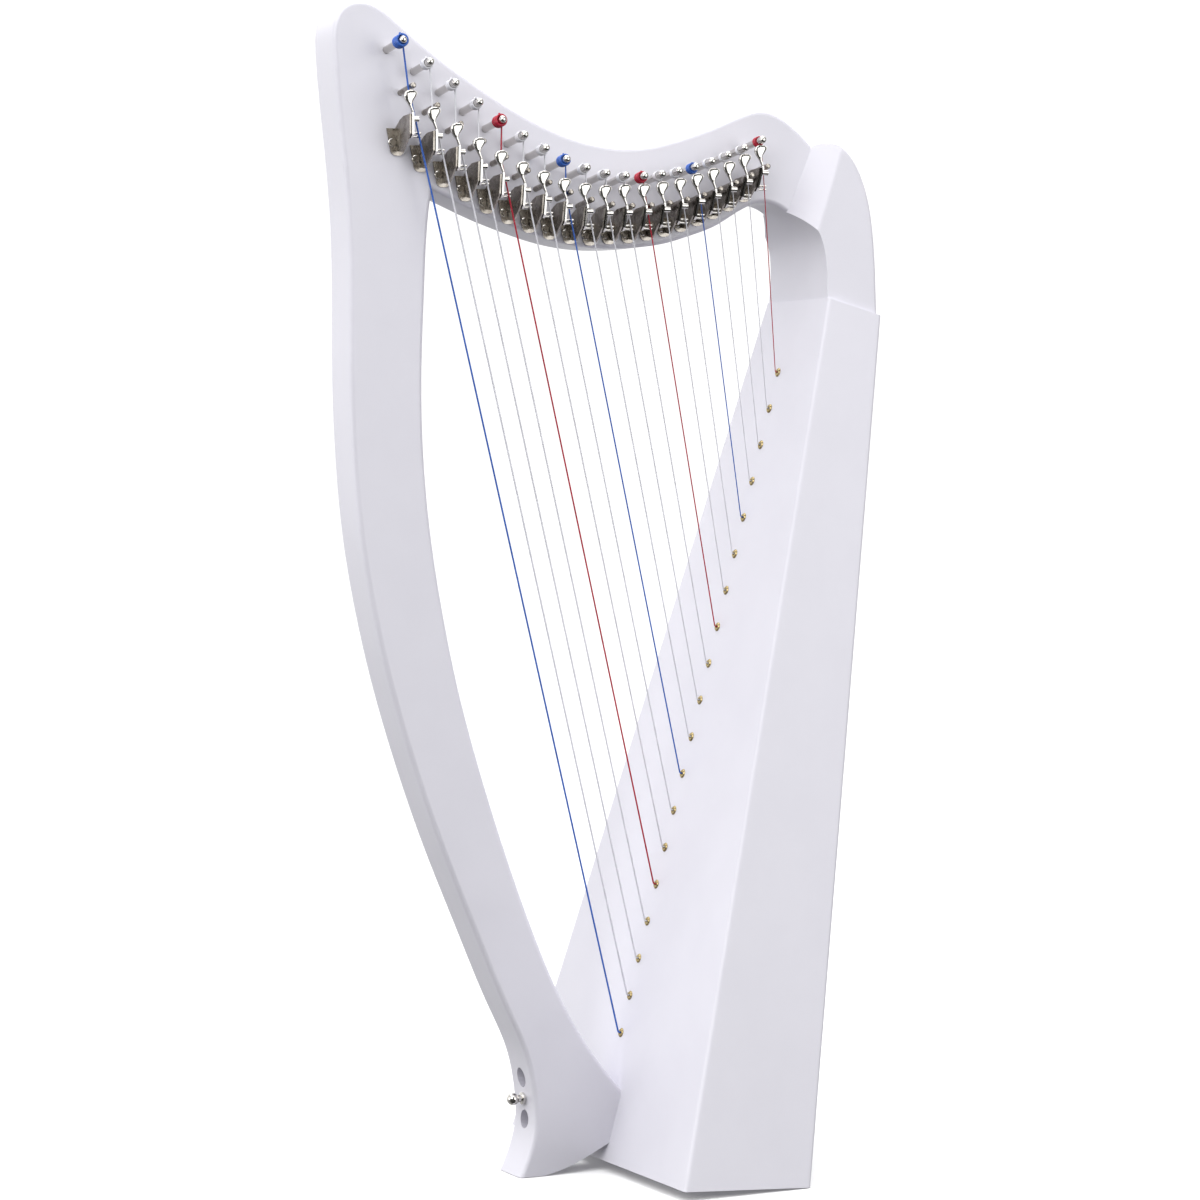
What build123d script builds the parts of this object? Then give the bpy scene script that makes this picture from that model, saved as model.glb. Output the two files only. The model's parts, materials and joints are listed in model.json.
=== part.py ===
from build123d import *
import math
import os

# Small lap lever harp, 19 strings. Millimetres, +Z up.
# X runs along the harp (pillar at -X, soundbox at +X); strings, levers and
# tuning pins stand on the -Y face of the neck.

# ---- overall sizes ---------------------------------------------------------
STRINGS = 19
BOARD_T = 35.5            # thickness of pillar and neck
EDGE_R = 3.0              # rounding of the board's long edges
BOX_LEAN = 15.08          # soundboard leans back from the vertical
BOX_LEN = 632.5           # soundboard length, measured along its slope
BOX_W_BOTTOM = 279.0
BOX_W_TOP = 91.6
BOX_D_BOTTOM = 98.6       # depth at the low back corner
BOX_D_TOP = 45.7
BOX_X = 65.9              # soundboard's lower edge, from the toe of the foot
BOX_Z = 6.35
SOUNDBOARD_T = 4.0
SIDE_T = 6.0
BACK_T = 5.0
BASE_T = 10.0
TOP_BLOCK = 26.0
FOOT_BLOCK_T = 22.0
FOOT_BLOCK_W = 90.0
FOOT_BLOCK_H = 66.0
RIB_W = 20.0
RIB_T = 4.0
BRACE_W = 9.0
BRACE_T = 12.0

# ---- strings and their fittings --------------------------------------------
EYELET_FIRST = 0.1418 * BOX_LEN   # bass eyelet, up the soundboard
EYELET_LAST = 0.9146 * BOX_LEN
STRING_Y = 3.0            # string line, beside the middle of the soundboard
STRING_R_BASS = 0.65
STRING_R_TREBLE = 0.32
CROSS_OUT = 20.0          # strings cross the bridge pins this far off the neck
EYELET_BORE = 1.1
EYELET_R = 2.1
EYELET_FLANGE_R = 3.3
EYELET_FLANGE_T = 1.0
BRIDGE_R = 2.0
BRIDGE_OUT = 24.0
BRIDGE_DEEP = 16.0
PIN_R = 2.6
PIN_OUT = 30.0
PIN_BACK = 9.0            # square key end behind the neck
PIN_SQUARE = 3.4
PIN_CLEAR = 0.06
PIN_RISE = 8.0            # tuning and bridge pins slope up to their tips

# ---- sharping levers -------------------------------------------------------
LEVER_T = 1.4
LEVER_LEFT = 7.6          # bass blade stands this far left of its string
LEFT_LESS = 1.0           # and the last treble blade this much nearer
LEVER_DROP = 13.5         # prongs below the bridge pin
BASS_DROP = 1.8           # more for each string below the middle one
MIDDLE = 10
LEVER_OUT = 26.2          # outer edge of every lever, off the neck face
LEVER_TAPER = 7.0         # treble levers are this much narrower low down
PRONG_R = 0.8
PRONG_OUT = 6.0           # prongs, outwards from the pivot
PRONG_DOWN = 7.0
PRONG_GAP = 2.4
STRING_CLEAR = 0.3
ROOT_UP = 7.0             # handle starts this far above the pivot
HANDLE_T = 1.5
HUB_R = 3.4
STUB_R = 2.1
STUB_LONG = 4.6
STUB_UP = 3.0
RIVET_R = 1.5
RIVET_CLEAR = 0.06
SIDE_GAP = 0.35           # between blade and bracket flange
BRACKET_T = 1.2
PLATE_W = 10.4
PLATE_LEFT = -8.8         # plate's upper left corner from the blade
PLATE_UP = 5.3            # above and below the prongs
PLATE_DOWN = 13.0
PLATE_LESS = 3.6          # treble plates are this much shorter, each end
PLATE_SLANT = 0.19
FLANGE_LOW = 13.0         # flange's lower corner off the neck face
SCREW_R = 1.1
SCREW_HEAD_R = 2.0
SCREW_HEAD_T = 1.5
SCREW_LEFT = -4.6
SCREW_DOWN = 4.4          # below the prongs

# ---- foot fittings ---------------------------------------------------------
BOLT_R = 3.0
BOLT_HEAD_R = 5.0
BOLT_WELL_R = 6.4
BOLT_WELL_DEEP = 22.0
BOLT_Z = (38.0, 67.0)
BUTTON_Z = 52.5
BUTTON_R = 4.3

LEAN = math.radians(BOX_LEAN)
HALF = BOARD_T / 2
BACK_S = (BOX_D_BOTTOM * math.sin(LEAN) - BOX_Z) / math.cos(LEAN)


def on_box(n, y, s):
    """Point from depth n behind the soundboard, y, and s up its slope."""
    x = BOX_X + n * math.cos(LEAN) + s * math.sin(LEAN)
    return Vector(x, y, BOX_Z - n * math.sin(LEAN) + s * math.cos(LEAN))


def place_on_box(shape):
    """Move a shape built in (n, y, s) axes on to the leaning soundbox."""
    return Pos(BOX_X, 0, BOX_Z) * Rot(0, BOX_LEAN, 0) * shape


def box_half_width(s):
    return (BOX_W_BOTTOM + (BOX_W_TOP - BOX_W_BOTTOM) * s / BOX_LEN) / 2


def cyl(start, direction, radius, length):
    """Cylinder from a start point along a direction."""
    plane = Plane(origin=start, z_dir=direction)
    return extrude(plane * Circle(radius), length)


def prism(points, half_y, plane=Plane.XZ):
    """Polygon in X and Z, both ways in Y."""
    face = make_face(Polyline(*points, close=True))
    return extrude(plane * face, half_y, both=True)


# ---- pillar and neck: one board outline, then parted at the joint ----------
CREASE_TOP = (232.5, 727.0)
CREASE_FOOT = (212.0, 679.0)
INNER_CORNER = (-65.5, 686.0)
CONTACT_TOP = 56.0
CONTACT_LOW = 19.0


def on_front(z):
    """X of the soundboard's front face at height z."""
    return BOX_X + (z - BOX_Z) * math.tan(LEAN)


front_and_top = Spline(
    (0, 0), (6, 14), (11, 32), (10.5, 58), (4.5, 86), (-8.5, 115), (-34, 173),
    (-58, 230), (-79, 287), (-96.5, 343), (-110, 398), (-119.5, 453),
    (-124.5, 508), (-126.5, 562), (-126.5, 615), (-128, 670), (-133, 725),
    (-138, 780), (-137, 796), (-130.5, 807), (-119, 811.5), (-107, 809),
    (-92, 799), (-60, 775.5), (-30, 757), (0, 741), (31, 728.5), (62, 721.5),
    (93, 721), (127, 729), (160, 741), (177, 748), (192, 751), (207, 746.5),
    CREASE_TOP)
neck_end = Line(CREASE_TOP, CREASE_FOOT)
underside = Spline(
    CREASE_FOOT, (202, 684), (191, 685.3), (180, 682), (168, 675.5),
    (155, 668), (135, 660.5), (115, 654.5), (93, 651), (70, 649.5),
    (46, 650.5), (23, 654.5), (0, 661), (-22.5, 668.5), (-45, 677.5),
    INNER_CORNER)
inner_edge = Spline(
    INNER_CORNER, (-67.5, 672), (-71, 617), (-73, 562), (-72, 508),
    (-67, 453), (-58, 398), (-46, 343), (-30, 287), (-11, 230), (10.5, 173),
    (37.3, 115), (55.5, 86), (68, 69.5), (on_front(CONTACT_TOP), CONTACT_TOP))
contact = Line((on_front(CONTACT_TOP), CONTACT_TOP),
               (on_front(CONTACT_LOW), CONTACT_LOW))
foot_under = Spline((on_front(CONTACT_LOW), CONTACT_LOW), (54, 11.5),
                    (36, 4.2), (18, 0))
foot_flat = Line((18, 0), (0, 0))

board = extrude(Plane.XZ * make_face(Curve() + [
    front_and_top, neck_end, underside, inner_edge, contact, foot_under,
    foot_flat]), HALF, both=True)
long_edges = [e for e in board.edges()
              if e.geom_type == GeomType.BSPLINE and e.length > 120]
board = fillet(long_edges, EDGE_R)

# the joint runs from the inner corner, rising a little to the front
pillar_side = prism([INNER_CORNER, (-200, 715), (-200, -20), (150, -20),
                     (150, 400), (-65.5, 480)], 60)
pillar = board & pillar_side
neck = board - pillar_side

# ---- shoulder block --------------------------------------------------------
SHOULDER_INSET = 2.2
TOP_HALF = BOX_W_TOP / 2


def at_top(n):
    point = on_box(n, 0, BOX_LEN)
    return (point.X, point.Z)


shoulder_back = Spline(
    CREASE_TOP, (241, 728.5), (251, 723.5), (261, 710), (268, 690),
    (271.5, 665), (272.5, 640), at_top(BOX_D_TOP - SHOULDER_INSET))
shoulder_low = Line(at_top(BOX_D_TOP - SHOULDER_INSET), at_top(0.8))


def shoulder_point(across, up):
    """Front of the shoulder, by shares from the box's top to the crease."""
    x, z = at_top(0.8)
    return (x + across, z + up * (CREASE_FOOT[1] - z))


shoulder_front = Spline(
    at_top(0.8), shoulder_point(0.3, 0.275), shoulder_point(-0.8, 0.535),
    shoulder_point(-4.3, 0.73), shoulder_point(-10.8, 0.885), CREASE_FOOT)
shoulder_joint = Line(CREASE_FOOT, CREASE_TOP)
shoulder_block = extrude(Plane.XZ * make_face(Curve() + [
    shoulder_back, shoulder_low, shoulder_front, shoulder_joint]),
    TOP_HALF - SHOULDER_INSET, both=True)
SIDE_DRAFT = 4.0          # the block narrows upward by this angle
CHEEK_FOOT = (229.0, 40.0, 672.0)
for side in (-1, 1):
    foot = Vector(CREASE_FOOT[0], side * HALF, CREASE_FOOT[1])
    along = Vector(CREASE_TOP[0], side * HALF, CREASE_TOP[1]) - foot
    across = Vector(CHEEK_FOOT[0], side * CHEEK_FOOT[1], CHEEK_FOOT[2]) - foot
    outward = across.cross(along) * (-side)
    cheek = Plane(origin=foot, x_dir=along, z_dir=outward)
    shoulder_block -= cheek * Box(400, 400, 90,
                                  align=(Align.CENTER, Align.CENTER, Align.MIN))
    corner = Pos(250, side * (TOP_HALF - SHOULDER_INSET), 606)
    draft = corner * Rot(side * SIDE_DRAFT, 0, 0)
    shoulder_block -= draft * Pos(0, side * 30, 100) * Box(200, 60, 300)
outer_edges = [e for e in shoulder_block.edges() if e.length > 60
               and abs(e.center().Y) > HALF + 6]
shoulder_block = fillet(outer_edges, EDGE_R)

# ---- soundbox --------------------------------------------------------------
profile = make_face(Polyline((0, 0), (0, BOX_LEN), (BOX_D_TOP, BOX_LEN),
                             (BOX_D_BOTTOM, BACK_S), close=True))
box_side = extrude(Plane.XZ * profile, BOX_W_BOTTOM, both=True)


def front_outline(inset):
    """Solid over the soundboard's outline, drawn in by inset each side."""
    low = box_half_width(0) - inset
    top = box_half_width(BOX_LEN) - inset
    face = make_face(Polyline((0, -low, 0), (0, low, 0), (0, top, BOX_LEN),
                              (0, -top, BOX_LEN), close=True))
    return extrude(face, 200, dir=(1, 0, 0), both=True)


whole_box = box_side & front_outline(0)
corners = [e for e in whole_box.edges() if e.length > 400]
whole_box = fillet(corners, EDGE_R)
front_slab = Pos(SOUNDBOARD_T / 2, 0, 300) * Box(SOUNDBOARD_T, 400, 900)
back_run = math.atan2(BOX_D_BOTTOM - BOX_D_TOP, BOX_LEN - BACK_S)
back_slab = (Pos(BOX_D_BOTTOM, 0, BACK_S) * Rot(0, -math.degrees(back_run), 0)
             * Pos(20 - BACK_T, 0, 300) * Box(40, 400, 900))
low_run = math.atan2(BACK_S, BOX_D_BOTTOM)
base_slab = (Rot(0, -math.degrees(low_run), 0)
             * Pos(60, 0, BASE_T - 40) * Box(300, 400, 80))
inside_plan = front_outline(SIDE_T)
soundboard = whole_box & front_slab
back_panel = (whole_box - front_slab) & back_slab
walls = whole_box - front_slab - back_slab
base_board = walls & base_slab
walls = walls - base_slab
sides = walls - inside_plan
side_panel_near = sides & Pos(0, -200, 300) * Box(400, 400, 900)
side_panel_far = sides & Pos(0, 200, 300) * Box(400, 400, 900)
cavity = walls & inside_plan
top_zone = Pos(0, 0, BOX_LEN - TOP_BLOCK / 2) * Box(400, 400, TOP_BLOCK)
top_block = cavity & top_zone
foot_zone = (Pos(SOUNDBOARD_T + FOOT_BLOCK_T / 2, 0, FOOT_BLOCK_H / 2)
             * Box(FOOT_BLOCK_T, FOOT_BLOCK_W, FOOT_BLOCK_H))
foot_block = cavity & foot_zone

# rib behind the string line, let into the foot block and the top block
RIB_LOW = FOOT_BLOCK_H
RIB_TOP = BOX_LEN - TOP_BLOCK
string_rib = (Pos(SOUNDBOARD_T + RIB_T / 2, STRING_Y, (RIB_LOW + RIB_TOP) / 2)
              * Box(RIB_T, RIB_W, RIB_TOP - RIB_LOW))

# braces across the back panel, and the oval holes for threading strings
BRACE_S = (215.0, 395.0)
cross_braces = Part()
for s in BRACE_S:
    depth = BOX_D_BOTTOM - (s - BACK_S) * math.tan(back_run)
    bar = (Pos(depth - BACK_T - BRACE_T / 2, 0, s)
           * Box(BRACE_T + 8, 400, BRACE_W))
    cross_braces += cavity & bar
SOUND_HOLES = ((128.0, 92.0, 60.0), (305.0, 78.0, 46.0), (480.0, 64.0, 32.0))
for s, long, wide in SOUND_HOLES:
    oval = Plane.YZ * SlotOverall(long, wide, rotation=90)
    back_panel -= Pos(0, 0, s) * extrude(oval, 200)


def eyelet_s(i):
    """Distance up the soundboard of string i, counted from the bass."""
    return EYELET_FIRST + (EYELET_LAST - EYELET_FIRST) * i / (STRINGS - 1)


def string_r(i):
    share = i / (STRINGS - 1)
    return STRING_R_BASS + (STRING_R_TREBLE - STRING_R_BASS) * share


bore = Rot(0, 90, 0) * Cylinder(EYELET_R, 40)
for i in range(STRINGS):
    hole = Pos(0, STRING_Y, eyelet_s(i)) * bore
    soundboard -= hole
    string_rib -= hole

# brass eyelets and the knots that hold the strings from inside
EYELET_END = SOUNDBOARD_T + RIB_T
eyelet_profile = make_face(Polyline(
    (EYELET_BORE, -EYELET_FLANGE_T), (EYELET_FLANGE_R - 0.8, -EYELET_FLANGE_T),
    (EYELET_FLANGE_R, -0.3), (EYELET_FLANGE_R, 0), (EYELET_R, 0),
    (EYELET_R, EYELET_END), (EYELET_BORE, EYELET_END), close=True))
eyelet = Rot(0, 90, 0) * revolve(Plane.XZ * eyelet_profile, Axis.Z)
KNOT_R = 1.9
KNOT_LEN = 5.0
eyelets = place_on_box(Compound([Pos(0, STRING_Y, eyelet_s(i)) * eyelet
                                 for i in range(STRINGS)]))
soundboard = place_on_box(soundboard)
string_rib = place_on_box(string_rib)
back_panel = place_on_box(back_panel)
base_board = place_on_box(base_board)
side_panel_near = place_on_box(side_panel_near)
side_panel_far = place_on_box(side_panel_far)
top_block = place_on_box(top_block)
foot_block = place_on_box(foot_block)
cross_braces = place_on_box(cross_braces)

# ---- lines of tuning pins and bridge pins on the neck ----------------------
# both lines run through the outer ends of the pins
pin_line = Spline((-99.5, 783.5), (-43.5, 744.5), (5, 716), (51.5, 700),
                  (96, 700.5), (136, 711), (176, 727.5))
bridge_line = Spline((-89.5, 754), (-39, 719.5), (12, 692.5), (60, 679),
                     (104, 681), (145.5, 692), (183.5, 709.5))


def spread(line, i, crowd, power):
    """Point i of STRINGS along a line, closer together to the treble."""
    q = i / (STRINGS - 1)
    point = line @ (q + crowd * q * (1 - q) ** power)
    return (point.X, point.Y)


pin_at = [spread(pin_line, i, 0.48, 1.6) for i in range(STRINGS)]
bridge_at = [spread(bridge_line, i, 0.34, 1.3) for i in range(STRINGS)]
eyelet_at = [on_box(0, STRING_Y, eyelet_s(i)) for i in range(STRINGS)]
CROSS_Y = -HALF - CROSS_OUT
RISE = math.tan(math.radians(PIN_RISE))
INTO = Vector(0, math.cos(math.radians(PIN_RISE)),
              -math.sin(math.radians(PIN_RISE)))


def bearing(i):
    """Where string i lies on its bridge pin."""
    bx, bz = bridge_at[i]
    bz -= (BRIDGE_OUT - CROSS_OUT) * RISE
    px, pz = pin_at[i]
    pz -= (PIN_OUT - CROSS_OUT) * RISE
    below = math.atan2(eyelet_at[i].X - bx, bz - eyelet_at[i].Z)
    above = math.atan2(bx - px, pz - bz)
    lean = (below + above) / 2
    reach = BRIDGE_R + string_r(i) + 0.12
    x = bx - reach * math.cos(lean)
    z = bz - reach * math.sin(lean)
    return Vector(x, CROSS_Y, z)


def string_path(i):
    """Whole route of string i, knot to tuning pin."""
    s = eyelet_s(i)
    start = on_box(EYELET_END + KNOT_LEN / 2, STRING_Y, s)
    mouth = on_box(-2.4, STRING_Y, s)
    cross = bearing(i)
    px, pz = pin_at[i]
    pz -= (PIN_OUT - CROSS_OUT) * RISE
    lean = math.atan2(cross.X - px, pz - cross.Z)
    reach = PIN_R + string_r(i) + 0.15
    end = Vector(px + reach * math.cos(lean), CROSS_Y,
                 pz + reach * math.sin(lean))
    return [start, mouth, cross, end]


def string_solid(i):
    path = FilletPolyline(*string_path(i), radius=1.3)
    first = path.edges().sort_by_distance(string_path(i)[0])[0]
    ring = Plane(origin=string_path(i)[0], z_dir=first % 0) * Circle(string_r(i))
    return sweep(ring, path=path)


REDS = (4, 11, 18)
BLUES = (0, 7, 14)
CLEARS = [i for i in range(STRINGS) if i not in REDS + BLUES]
knots = []
for i in range(STRINGS):
    at = on_box(EYELET_END + 0.1, STRING_Y, eyelet_s(i))
    direction = on_box(1, 0, 0) - on_box(0, 0, 0)
    knot = cyl(at, direction, KNOT_R, KNOT_LEN)
    knots.append(knot - cyl(at - direction, direction, string_r(i), 2 + KNOT_LEN / 2))
string_knots = Compound(knots)
strings_red = Compound([string_solid(i) for i in REDS])
strings_blue = Compound([string_solid(i) for i in BLUES])
strings_clear = Compound([string_solid(i) for i in CLEARS])

# ---- tuning pins, through the neck -----------------------------------------
PIN_LONG = (PIN_OUT + BOARD_T + 2) / INTO.Y
tuning_pins = []
for i in range(STRINGS):
    px, pz = pin_at[i]
    tip = Vector(px, -HALF - PIN_OUT, pz)
    shaft = cyl(tip, INTO, PIN_R, PIN_LONG)
    shaft = chamfer(shaft.edges().filter_by(GeomType.CIRCLE)
                    .sort_by(Axis.Y)[0], 0.7)
    key = (Plane(origin=tip + INTO * (PIN_LONG + PIN_BACK / 2 - 1),
                 x_dir=(1, 0, 0), z_dir=INTO)
           * Box(PIN_SQUARE, PIN_SQUARE, PIN_BACK - 2))
    tuning_pins.append(shaft + key)
    neck -= cyl(tip, INTO, PIN_R + PIN_CLEAR, 120)

# ---- bridge pins: plain posts with a rounded end ---------------------------
posts = []
for bx, bz in bridge_at:
    tip = Vector(bx, -HALF - BRIDGE_OUT, bz)
    post = cyl(tip, INTO, BRIDGE_R, (BRIDGE_OUT + BRIDGE_DEEP) / INTO.Y)
    neck -= post
    posts.append(fillet(post.edges().filter_by(GeomType.CIRCLE)
                        .sort_by(Axis.Y)[0], 1.2))
bridge_pins = Compound(posts)


# ---- sharping levers -------------------------------------------------------
def lever_frame(i):
    """Pivot point of lever i, its share along the row, reach of its prongs."""
    cross = bearing(i)
    foot = eyelet_at[i]
    drop = LEVER_DROP + BASS_DROP * max(0, MIDDLE - i)
    on_string = cross + (foot - cross) * (drop / (cross.Z - foot.Z))
    share = i / (STRINGS - 1)
    left = LEVER_LEFT - LEFT_LESS * share
    fall = (foot.Y - cross.Y) / (cross.Z - foot.Z)
    touch = (PRONG_R + string_r(i)) * math.hypot(1, fall)
    pivot_y = (on_string.Y + PRONG_OUT + touch + PRONG_GAP / 2 * fall
               + STRING_CLEAR)
    pivot = Vector(on_string.X - left, pivot_y, on_string.Z + PRONG_DOWN)
    return pivot, share, left + 2.0


def lever_solid(out, share, reach):
    """Lever about its pivot: -Y is outwards, X is the pivot axis."""
    half = LEVER_T / 2
    low = -PRONG_DOWN - PRONG_GAP / 2 - 1.6
    edge = out - LEVER_OUT
    waist = edge + LEVER_TAPER * share
    plate = make_face(Polyline(
        (HUB_R * 0.8, -2), (HUB_R * 0.8, 2), (-4, 3), (edge + 6, ROOT_UP - 0.6),
        (edge, ROOT_UP), (waist, -PRONG_DOWN - 0.6), (waist + 2.4, low),
        (-PRONG_OUT + 1.4, low), close=True))
    blade = extrude(Plane.YZ * plate, half, both=True)
    blade += extrude(Plane.YZ * Circle(HUB_R), half, both=True)
    spoon = Plane.XZ * make_face(Spline(
        (-0.4, 5), (-0.9, 8), (-2.7, 11.5), (-5.2, 14.8), (-6.5, 18.2),
        (-5.4, 20.8), (-2.6, 22), (0.6, 21.9), (2.8, 20.4), (2, 18),
        (-0.4, 14.8), (-1.1, 12), (0, 9), (0.7, 6.5), (0.6, 5), (-0.4, 5)))
    blade += Pos(0, edge + HANDLE_T, 0) * extrude(spoon, HANDLE_T)
    blade += cyl((0, edge + STUB_R + 0.4, STUB_UP), (1, 0, 0), STUB_R, STUB_LONG)
    for side in (-1, 1):
        z = -PRONG_DOWN + side * PRONG_GAP / 2
        blade += cyl((0, -PRONG_OUT, z), (1, 0, 0), PRONG_R, reach)
    return blade - Rot(0, 90, 0) * Cylinder(RIVET_R + RIVET_CLEAR, 9)


def bracket_solid(out, share):
    """Angle bracket with its rivet; the neck face is out to +Y."""
    left = -LEVER_T / 2 - SIDE_GAP - BRACKET_T
    top = -PRONG_DOWN + PLATE_UP - PLATE_LESS * share
    low = -PRONG_DOWN - PLATE_DOWN + PLATE_LESS * share
    slant = PLATE_SLANT * (top - low)
    outline = make_face(Polyline(
        (PLATE_LEFT, top), (PLATE_LEFT + PLATE_W, top),
        (PLATE_LEFT + PLATE_W + slant, low), (PLATE_LEFT + slant, low),
        close=True))
    plate = Pos(0, out, 0) * extrude(Plane.XZ * outline, BRACKET_T)
    corners = plate.edges().filter_by(Axis.Y).sort_by(Axis.Z)
    plate = fillet(corners[:2], PLATE_W * 0.4)
    edge = out - LEVER_OUT + 0.9
    wing = make_face(Polyline(
        (out, low + 3), (out, top), (out - 4, 1), (2, 3.4),
        (-4, ROOT_UP - 1.4), (edge, ROOT_UP - 0.8),
        (edge + LEVER_TAPER * share, -PRONG_DOWN),
        (out - FLANGE_LOW + 4 * share, low + 1.5), close=True))
    flange = Pos(left, 0, 0) * extrude(Plane.YZ * wing, BRACKET_T)
    rivet = (Rot(0, 90, 0) * Pos(0, 0, left + BRACKET_T / 2)
             * Cylinder(RIVET_R, LEVER_T + SIDE_GAP * 2 + BRACKET_T / 2,
                        align=(Align.CENTER, Align.CENTER, Align.MIN)))
    head = (Rot(0, 90, 0) * Pos(0, 0, LEVER_T / 2 + SIDE_GAP)
            * Cylinder(RIVET_R + 1, 0.9,
                       align=(Align.CENTER, Align.CENTER, Align.MIN)))
    hole = (Pos(SCREW_LEFT, out, -PRONG_DOWN - SCREW_DOWN)
            * Rot(90, 0, 0) * Cylinder(SCREW_R, 8))
    return plate + flange + rivet + head - hole


lever_at = [lever_frame(i) for i in range(STRINGS)]
levers = []
brackets = []
screws = []
for pivot, share, reach in lever_at:
    out = -HALF - pivot.Y
    levers.append(Pos(pivot) * lever_solid(out, share, reach))
    brackets.append(Pos(pivot) * bracket_solid(out, share))
    face = (Pos(pivot) * Pos(SCREW_LEFT, out - BRACKET_T,
                             -PRONG_DOWN - SCREW_DOWN) * Rot(90, 0, 0))
    shank = face * Pos(0, 0, -4) * Cylinder(SCREW_R, 11)
    screw_head = face * Pos(0, 0, SCREW_HEAD_T / 2) * Cylinder(
        SCREW_HEAD_R, SCREW_HEAD_T)
    slot = face * Pos(0, 0, SCREW_HEAD_T) * Box(6, 0.6, 1.2)
    screws.append(shank + screw_head - slot)
    neck -= shank
lever_brackets = Compound(brackets)
lever_screws = Compound(screws)

# ---- foot: two bolts in deep wells and a strap button ----------------------
inward = on_box(1, 0, 0) - on_box(0, 0, 0)
bolts = []
for z in BOLT_Z:
    seat = Vector(10.5, 0, z) + inward * BOLT_WELL_DEEP
    end = SOUNDBOARD_T + FOOT_BLOCK_T - 3
    length = (on_front(z) - seat.X) * math.cos(LEAN) + end
    shank = cyl(seat, inward, BOLT_R, length)
    pillar -= cyl(seat, -inward, BOLT_WELL_R, 60)
    pillar -= shank
    soundboard -= shank
    foot_block -= shank
    base_board -= shank
    head = cyl(seat, -inward, BOLT_HEAD_R, 6)
    socket = extrude(Plane(origin=seat - inward * 6, z_dir=inward)
                     * RegularPolygon(2.6, 6), 3)
    bolts.append(head + shank - socket)
pillar_bolts = Compound(bolts)

button_profile = make_face(Polyline(
    (0, -14), (1.5, -14), (1.5, 0), (BUTTON_R, 0), (BUTTON_R, 1.6),
    (2.6, 2.6), (2.6, 5), (0, 5), close=True))
strap_button = (revolve(Plane.XZ * button_profile, Axis.Z)
                + Pos(0, 0, 8) * Sphere(BUTTON_R))
BUTTON_SEAT = 10.6
strap_button = Pos(BUTTON_SEAT, 0, BUTTON_Z) * Rot(0, -90, 0) * strap_button
pillar -= cyl((BUTTON_SEAT + 14, 0, BUTTON_Z), (-1, 0, 0), 1.5, 14)
pillar -= cyl((BUTTON_SEAT, 0, BUTTON_Z), (-1, 0, 0), BUTTON_R, 9)

# ---- put the middle of the whole outline over the origin -------------------
pieces = {
    "pillar": pillar, "neck": neck, "shoulder_block": shoulder_block,
    "soundboard": soundboard, "side_panel_near": side_panel_near,
    "side_panel_far": side_panel_far, "back_panel": back_panel,
    "base_board": base_board, "top_block": top_block,
    "foot_block": foot_block, "string_rib": string_rib,
    "cross_braces": cross_braces, "eyelets": eyelets,
    "string_knots": string_knots, "strings_red": strings_red,
    "strings_blue": strings_blue, "strings_clear": strings_clear,
    "bridge_pins": bridge_pins, "lever_brackets": lever_brackets,
    "lever_screws": lever_screws, "strap_button": strap_button,
    "pillar_bolts": pillar_bolts}
for i in range(STRINGS):
    pieces["tuning_pin_%02d" % (i + 1)] = tuning_pins[i]
    pieces["lever_%02d" % (i + 1)] = levers[i]
extent = Compound(list(pieces.values())).bounding_box()
SHIFT = Vector(-(extent.min.X + extent.max.X) / 2,
               -(extent.min.Y + extent.max.Y) / 2, -extent.min.Z)

if __name__ == "__main__":
    os.makedirs("parts", exist_ok=True)
    for name, shape in pieces.items():
        export_step(Pos(SHIFT) * shape, "parts/" + name + ".step")
    print("size", extent.size, "shift", SHIFT)
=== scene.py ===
"""Looks of the small lever harp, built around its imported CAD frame."""

import json
import math
import random

import bpy
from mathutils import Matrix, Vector


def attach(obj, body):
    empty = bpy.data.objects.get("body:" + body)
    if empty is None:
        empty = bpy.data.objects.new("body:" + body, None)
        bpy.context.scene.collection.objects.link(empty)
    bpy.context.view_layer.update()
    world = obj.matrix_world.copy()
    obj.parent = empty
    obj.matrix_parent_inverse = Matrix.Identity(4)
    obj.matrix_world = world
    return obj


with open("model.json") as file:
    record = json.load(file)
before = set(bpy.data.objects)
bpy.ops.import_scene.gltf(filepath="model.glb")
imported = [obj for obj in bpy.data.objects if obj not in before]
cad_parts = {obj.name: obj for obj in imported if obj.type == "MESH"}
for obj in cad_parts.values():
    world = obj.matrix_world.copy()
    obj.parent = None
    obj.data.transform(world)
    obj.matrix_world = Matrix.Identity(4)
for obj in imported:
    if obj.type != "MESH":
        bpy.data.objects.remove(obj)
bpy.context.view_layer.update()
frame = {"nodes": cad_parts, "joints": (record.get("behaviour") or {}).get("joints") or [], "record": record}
nodes = frame["nodes"]
joints = {j["name"]: j for j in frame["joints"]}
random.seed(7)

MM = 0.001
STRINGS = 19
REDS = (4, 11, 18)
BLUES = (0, 7, 14)
STRING_R_BASS = 0.65 * MM
STRING_R_TREBLE = 0.32 * MM
CROSS_OUT = 20 * MM       # strings reach the tuning pins this far off the neck
PIN_R = 2.6 * MM
COIL_TURNS = 4.25
COIL_STEPS = 28           # points in one turn of a coil
COIL_START = 0.15         # radians round the pin from +X
COIL_PITCH = 2.05         # string radii from one turn to the next
COIL_THICK = 1.5          # a coloured string is wound this much thicker
COIL_CLEAR = 0.05 * MM
TAIL = 2.4 * MM           # free end on the bass coil
TAIL_LESS = 0.9           # share of it that the last treble coil lacks
TAIL_STEPS = 8
TAIL_BEND = 0.22


# ---- materials -------------------------------------------------------------
def add(tree, kind, **inputs):
    node = tree.nodes.new(kind)
    for name, value in inputs.items():
        node.inputs[name.replace("_", " ")].default_value = value
    return node


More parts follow.
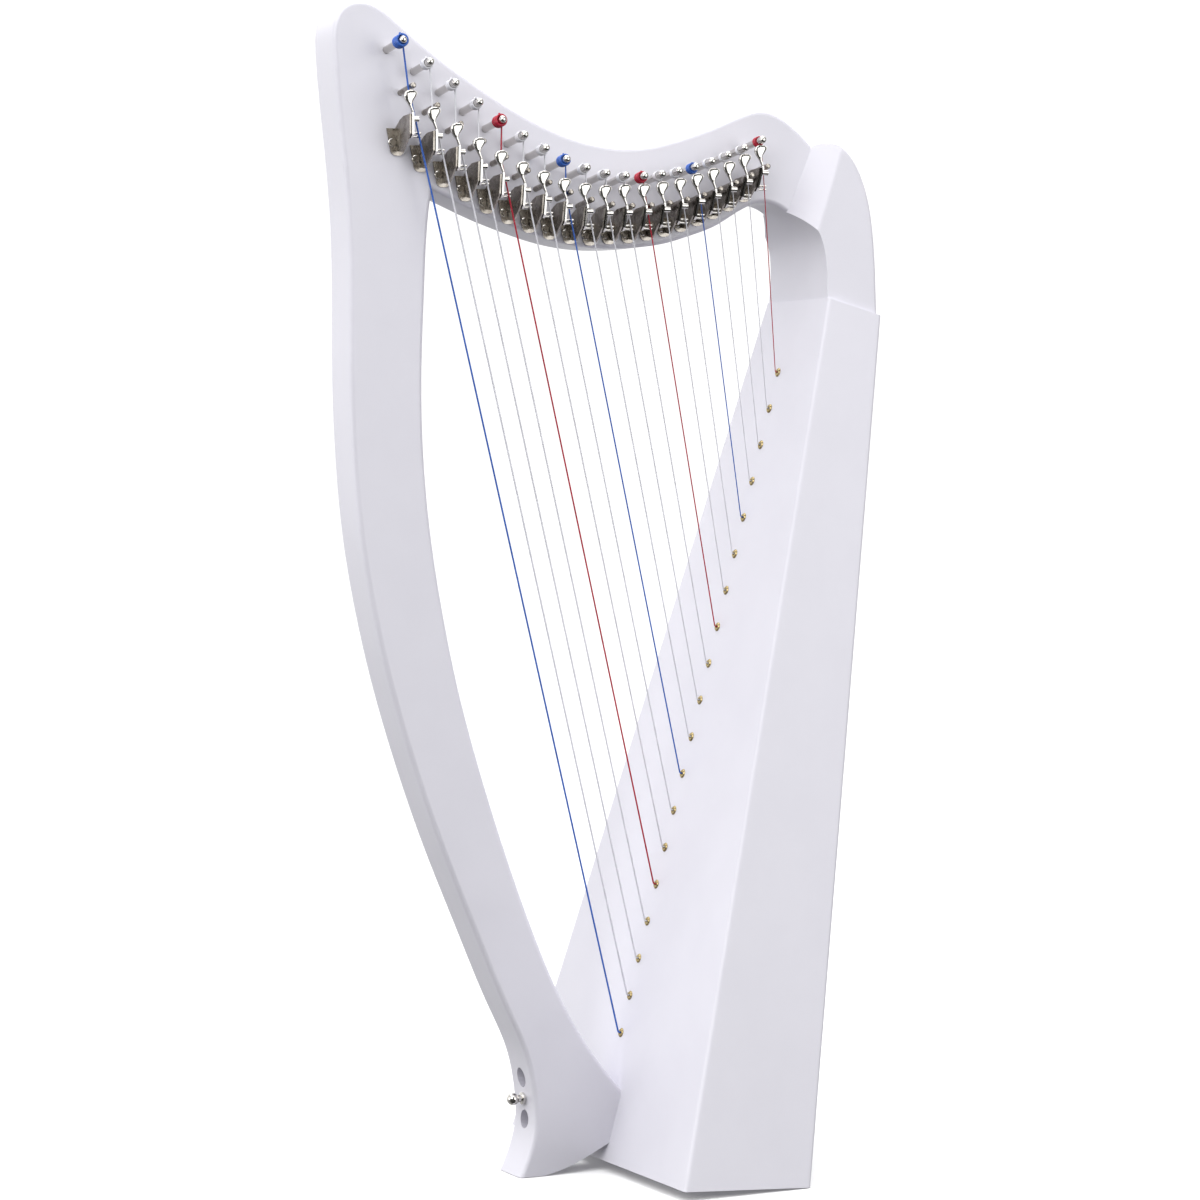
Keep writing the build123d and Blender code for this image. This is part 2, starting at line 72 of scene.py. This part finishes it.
def finish_of(name, light, dark, grain, roughness, metallic=0.0, bump=0.0,
              coat=0.0, stretch=(1, 1, 1), spread=0.08):
    """Procedural finish: two close colours and a roughness, both by noise."""
    made = bpy.data.materials.new(name)
    made.use_nodes = True
    tree = made.node_tree
    tree.nodes.clear()
    out = add(tree, "ShaderNodeOutputMaterial")
    shader = add(tree, "ShaderNodeBsdfPrincipled", Metallic=metallic)
    shader.inputs["Coat Weight"].default_value = coat
    place = add(tree, "ShaderNodeTexCoord")
    mapping = add(tree, "ShaderNodeMapping", Scale=stretch)
    noise = add(tree, "ShaderNodeTexNoise", Scale=grain, Detail=5.0)
    colours = add(tree, "ShaderNodeValToRGB")
    colours.color_ramp.elements[0].color = (*dark, 1)
    colours.color_ramp.elements[0].position = 0.35
    colours.color_ramp.elements[1].color = (*light, 1)
    colours.color_ramp.elements[1].position = 0.65
    rough = add(tree, "ShaderNodeMapRange")
    rough.inputs["To Min"].default_value = max(roughness - spread, 0.02)
    rough.inputs["To Max"].default_value = roughness + spread
    link = tree.links.new
    link(place.outputs["Object"], mapping.inputs["Vector"])
    link(mapping.outputs["Vector"], noise.inputs["Vector"])
    link(noise.outputs["Fac"], colours.inputs["Fac"])
    link(noise.outputs["Fac"], rough.inputs["Value"])
    link(colours.outputs["Color"], shader.inputs["Base Color"])
    link(rough.outputs["Result"], shader.inputs["Roughness"])
    if bump:
        fine = add(tree, "ShaderNodeTexNoise", Scale=grain * 6, Detail=3.0)
        raised = add(tree, "ShaderNodeBump", Strength=bump, Distance=0.0004)
        link(mapping.outputs["Vector"], fine.inputs["Vector"])
        link(fine.outputs["Fac"], raised.inputs["Height"])
        link(raised.outputs["Normal"], shader.inputs["Normal"])
    link(shader.outputs["BSDF"], out.inputs["Surface"])
    return made


finishes = {
    "paint": finish_of("satin_white_paint", (0.70, 0.69, 0.755),
                       (0.68, 0.67, 0.735), 22, 0.34, bump=0.05, coat=0.15),
    "bare_wood": finish_of("bare_wood", (0.62, 0.45, 0.27), (0.50, 0.34, 0.19),
                           35, 0.6, bump=0.3, stretch=(6, 6, 0.6)),
    "chrome": finish_of("polished_chrome", (0.72, 0.70, 0.67),
                        (0.62, 0.60, 0.57), 30, 0.13, metallic=1.0,
                        spread=0.03),
    # lever plates: nickel whose base colour is darkened well below real nickel, a painted dark reflection
    # standing in for the dim surroundings that the plates mirror
    "steel": finish_of("nickel_plate_painted_dark_reflection", (0.44, 0.41, 0.37),
                       (0.26, 0.235, 0.205), 160, 0.27, metallic=1.0,
                       bump=0.12, spread=0.05),
    "brass": finish_of("brass", (0.46, 0.37, 0.19), (0.34, 0.26, 0.12), 80,
                       0.20, metallic=1.0),
    "red_nylon": finish_of("red_nylon", (0.48, 0.008, 0.035),
                           (0.38, 0.006, 0.028), 120, 0.32),
    "blue_nylon": finish_of("blue_nylon", (0.035, 0.13, 0.52),
                            (0.025, 0.10, 0.43), 120, 0.32),
    "clear_nylon": finish_of("clear_nylon", (0.76, 0.76, 0.81),
                             (0.66, 0.66, 0.71), 120, 0.25),
}
for part in frame["record"]["subparts"]:
    mesh = nodes[part["node"]].data
    mesh.materials.clear()
    mesh.materials.append(finishes[part["material_slot"]])


# ---- string coils and tails on the tuning pins -----------------------------
def string_slot(i):
    if i in REDS:
        return "red_nylon"
    if i in BLUES:
        return "blue_nylon"
    return "clear_nylon"


def thread(name, points, radius, slot, body):
    """A round curve through points, riding on a body."""
    data = bpy.data.curves.new(name, "CURVE")
    data.dimensions = "3D"
    data.bevel_depth = radius
    data.bevel_resolution = 3
    data.use_fill_caps = True
    line = data.splines.new("POLY")
    line.points.add(len(points) - 1)
    for spot, place in zip(line.points, points):
        spot.co = (*place, 1)
    piece = bpy.data.objects.new(name, data)
    bpy.context.scene.collection.objects.link(piece)
    data.materials.append(finishes[slot])
    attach(piece, body)
    return piece


for i in range(STRINGS):
    share = i / (STRINGS - 1)
    radius = STRING_R_BASS + (STRING_R_TREBLE - STRING_R_BASS) * share
    if string_slot(i) != "clear_nylon":
        radius *= COIL_THICK
    joint = joints["pin_turn_%02d" % (i + 1)]
    foot = Vector(joint["pos_m"])
    along = Vector(joint["axis"])
    upward = along.cross(Vector((1, 0, 0)))
    if upward.z < 0:
        upward = -upward
    wind = PIN_R + radius + COIL_CLEAR
    pitch = COIL_PITCH * radius
    steps = int(COIL_TURNS * COIL_STEPS)
    points = []
    for step in range(steps + 1):
        turn = COIL_TURNS * step / steps
        angle = 2 * math.pi * turn + COIL_START
        points.append(foot + along * (CROSS_OUT + pitch * turn)
                      + Vector((1, 0, 0)) * wind * math.cos(angle)
                      + upward * wind * math.sin(angle))
    heading = (points[-1] - points[-2]).normalized()
    curl = Vector((random.uniform(-0.3, 0.3), -0.6, random.uniform(0.2, 0.7)))
    for step in range(TAIL_STEPS):
        heading = (heading + curl * TAIL_BEND).normalized()
        points.append(points[-1] + heading * TAIL
                      * (1 - TAIL_LESS * share) / TAIL_STEPS)
    thread("coil_%02d" % (i + 1), points, radius, string_slot(i),
           "pin_%02d" % (i + 1))


# ---- crowned handles and domed pin ends -------------------------------------
LEVER_OUT = 26.2 * MM     # front of the handles, off the neck
PIN_OUT = 30 * MM         # tips of the tuning pins, off the neck
NECK_FACE = joints["pin_turn_01"]["pos_m"][1]
# outline of a handle: height above its pivot and X, in millimetres
HANDLE_LEFT = ((5, -0.4), (8, -0.9), (11.5, -2.7), (14.8, -5.2), (18.2, -6.5),
               (20.6, -5.5), (21.7, -3.6), (22.1, -1.6))
HANDLE_RIGHT = ((5, 0.6), (6.5, 0.7), (9, 0.0), (12, -1.1), (14.8, -0.4),
                (18, 2.0), (20.2, 2.8), (21.4, 1.8), (22.1, -0.4))
HANDLE_LOW = 7.5
HANDLE_TALL = 14.6
HANDLE_DEEP = 1.3
HANDLE_PROUD = 0.05       # a cover stands this far outside its CAD handle
EASE = (-0.8, -0.4, 0, 0.4, 0.8)
CROWN = 0.9
DOME_FROM = 0.72          # share of the height where the crown fades out
PLATE_T = 1.2 * MM
SCREW_LEFT = -5.1 * MM
SCREW_DOWN = 11.4 * MM
# section of a disc: radius and Y, in millimetres
DISC_RING = ((2.8, 0), (2.8, -0.5), (2.5, -0.75), (2.2, -0.7), (2.05, -0.45))
CAP_BACK = 0.75           # a pin's dome starts this far inside its tip, mm
CAP_TALL = 2.0
CAP_WIDE = 0.97           # share of the pin's radius


def edge_at(line, z):
    """X of a handle edge at height z."""
    for (z0, x0), (z1, x1) in zip(line, line[1:]):
        if z <= z1:
            q = (z - z0) / (z1 - z0)
            return x0 + (x1 - x0) * q
    return line[-1][1]


def eased(line, z):
    """X of a handle edge, averaged over EASE so that its corners are round."""
    spots = [min(max(z + d, line[0][0]), line[-1][0]) for d in EASE]
    return sum(edge_at(line, spot) for spot in spots) / len(EASE)


def handle_mesh(name):
    """Closed spoon, crowned in front, with its pivot at the origin."""
    rows, across = 30, 12
    verts, faces = [], []
    for row in range(rows + 1):
        v = row / rows
        z = HANDLE_LOW + HANDLE_TALL * v
        left = eased(HANDLE_LEFT, z) - HANDLE_PROUD
        right = eased(HANDLE_RIGHT, z) + HANDLE_PROUD
        dome = 1 - max(0.0, (v - DOME_FROM) / (1 - DOME_FROM)) ** 2
        verts.append((left, HANDLE_DEEP, z))
        for k in range(across + 1):
            u = 2 * k / across - 1
            u = math.copysign(1 - (1 - abs(u)) ** 1.5, u)
            x = (left + right) / 2 + (right - left) / 2 * u
            high = CROWN * (1 - abs(u) ** 4) * dome
            verts.append((x, -0.1 - high * min(1, (right - left) / 4), z))
        verts.append((right, HANDLE_DEEP, z))
    loop = across + 3
    for row in range(rows):
        for k in range(loop):
            a = row * loop + k
            b = row * loop + (k + 1) % loop
            faces.append((a, b, b + loop, a + loop))
    faces.append(tuple(reversed(range(loop))))
    faces.append(tuple(rows * loop + k for k in range(loop)))
    mesh = bpy.data.meshes.new(name)
    mesh.from_pydata([Vector(v) * MM for v in verts], [], faces)
    mesh.materials.append(finishes["chrome"])
    for face in mesh.polygons:
        face.use_smooth = len(face.vertices) == 4
    mesh.validate()
    return mesh


def disc_mesh(name):
    """Disc with a raised rim, round a bracket's screw."""
    sides = 32
    verts, faces = [], []
    for wide, out in DISC_RING:
        for k in range(sides):
            turn = 2 * math.pi * k / sides
            verts.append((wide * math.cos(turn) * MM, out * MM,
                          wide * math.sin(turn) * MM))
    for row in range(len(DISC_RING) - 1):
        for k in range(sides):
            a = row * sides + k
            b = row * sides + (k + 1) % sides
            faces.append((a, b, b + sides, a + sides))
    last = (len(DISC_RING) - 1) * sides
    faces.append(tuple(range(last, last + sides)))
    faces.append(tuple(reversed(range(sides))))
    mesh = bpy.data.meshes.new(name)
    mesh.from_pydata(verts, [], faces)
    mesh.materials.append(finishes["chrome"])
    mesh.validate()
    return mesh


def place(name, mesh, at, body, slot):
    """Put a mesh in the scene, riding on a body."""
    piece = bpy.data.objects.new(name, mesh)
    piece.location = at
    bpy.context.scene.collection.objects.link(piece)
    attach(piece, body)
    return piece


def cap_mesh(name):
    """Low dome for the outer end of a tuning pin."""
    rings, sides = 6, 24
    verts, faces = [], []
    for ring in range(rings):
        tilt = math.pi / 2 * ring / rings
        for k in range(sides):
            turn = 2 * math.pi * k / sides
            wide = PIN_R * CAP_WIDE * math.cos(tilt)
            verts.append((wide * math.cos(turn),
                          (CAP_BACK - CAP_TALL * math.sin(tilt)) * MM,
                          wide * math.sin(turn)))
    verts.append((0, (CAP_BACK - CAP_TALL) * MM, 0))
    for ring in range(rings - 1):
        for k in range(sides):
            a = ring * sides + k
            b = ring * sides + (k + 1) % sides
            faces.append((a, b, b + sides, a + sides))
    top = (rings - 1) * sides
    for k in range(sides):
        faces.append((top + k, top + (k + 1) % sides, rings * sides))
    faces.append(tuple(reversed(range(sides))))
    mesh = bpy.data.meshes.new(name)
    mesh.from_pydata(verts, [], faces)
    mesh.materials.append(finishes["chrome"])
    for face in mesh.polygons:
        face.use_smooth = len(face.vertices) < 5
    mesh.validate()
    return mesh


for i in range(STRINGS):
    mark = "%02d" % (i + 1)
    pivot = joints["lever_swing_" + mark]["pos_m"]
    place("handle_" + mark, handle_mesh("handle_" + mark),
          (pivot[0], NECK_FACE - LEVER_OUT, pivot[2]),
          "sharping_lever_" + mark, "chrome")
    place("disc_" + mark, disc_mesh("disc_" + mark),
          (pivot[0] + SCREW_LEFT, NECK_FACE - PLATE_T,
           pivot[2] - SCREW_DOWN), "harp", "chrome")
    joint = joints["pin_turn_" + mark]
    along = Vector(joint["axis"])
    tip = Vector(joint["pos_m"]) + along * (PIN_OUT / abs(along.y))
    cap = place("pin_cap_" + mark, cap_mesh("pin_cap_" + mark), tip,
                "pin_" + mark, "chrome")
    cap.rotation_euler = (-math.asin(along.z), 0, 0)


# ---- floor, light and camera -----------------------------------------------
def area_light(name, place, aim, size, watts, tint=(1, 1, 1)):
    data = bpy.data.lights.new(name, "AREA")
    data.shape = "SQUARE"
    data.size = size
    data.energy = watts
    data.color = tint
    lamp = bpy.data.objects.new(name, data)
    lamp.location = place
    lamp.rotation_euler = (Vector(aim) - Vector(place)).to_track_quat(
        "-Z", "Y").to_euler()
    bpy.context.scene.collection.objects.link(lamp)


FLOOR_SIZE = 30
FLOOR_DROP = 0.5 * MM
bpy.ops.mesh.primitive_plane_add(size=FLOOR_SIZE,
                                 location=(0, 0, -FLOOR_DROP))
floor = bpy.context.object
floor.name = "studio_floor"
floor.data.materials.append(finish_of(
    "floor_white", (0.95, 0.95, 0.95), (0.93, 0.93, 0.93), 3, 0.9))
# the floor neither lights the harp nor shows in its metal
floor.visible_diffuse = False
floor.visible_glossy = False

world = bpy.data.worlds.new("studio")
bpy.context.scene.world = world
world.use_nodes = True
sky = world.node_tree
sky.nodes.clear()
facing = add(sky, "ShaderNodeTexCoord")
split = add(sky, "ShaderNodeSeparateXYZ")
backing = add(sky, "ShaderNodeBackground", Color=(1, 1, 1, 1))
sky_out = add(sky, "ShaderNodeOutputWorld")
both = add(sky, "ShaderNodeMath")
both.operation = "MULTIPLY"
sky.links.new(facing.outputs["Generated"], split.inputs["Vector"])
# bright behind the harp, dim on the camera's side and below the horizon
for socket, axis, low, high, dim, bright in (
        (0, "Y", -0.35, 0.6, 0.12, 1.12), (1, "Z", -0.3, -0.04, 0.5, 1.0)):
    fade = add(sky, "ShaderNodeMapRange")
    fade.inputs["From Min"].default_value = low
    fade.inputs["From Max"].default_value = high
    fade.inputs["To Min"].default_value = dim
    fade.inputs["To Max"].default_value = bright
    sky.links.new(split.outputs[axis], fade.inputs["Value"])
    sky.links.new(fade.outputs["Result"], both.inputs[socket])
sky.links.new(both.outputs["Value"], backing.inputs["Strength"])
sky.links.new(backing.outputs["Background"], sky_out.inputs["Surface"])
bpy.context.scene.view_settings.view_transform = "Standard"

middle = (0, 0, 0.42)
area_light("key", (-1.9, -1.6, 1.7), middle, 2.0, 44)
area_light("fill", (1.25, -2.4, 1.0), middle, 2.4, 40)
area_light("front", (-2.6, 0.3, 0.5), middle, 1.6, 16)
area_light("top", (0.0, -0.3, 2.4), middle, 1.6, 12)
overhead = bpy.data.objects.new("overhead",
                                bpy.data.lights.new("overhead", "SUN"))
overhead.data.energy = 2.3
overhead.data.angle = math.radians(80)
bpy.context.scene.collection.objects.link(overhead)

CAMERA_AT = (-1.1219, -2.2695, 0.5002)
CAMERA_TURN = 26.36       # degrees towards +X from straight along +Y
CAMERA_TILT = 2.21        # degrees down
camera = bpy.data.objects.new("camera", bpy.data.cameras.new("camera"))
camera.data.lens = 107.45
camera.data.sensor_width = 36
camera.location = CAMERA_AT
camera.rotation_euler = (math.radians(90 - CAMERA_TILT), 0,
                         -math.radians(CAMERA_TURN))
bpy.context.scene.collection.objects.link(camera)
bpy.context.scene.camera = camera
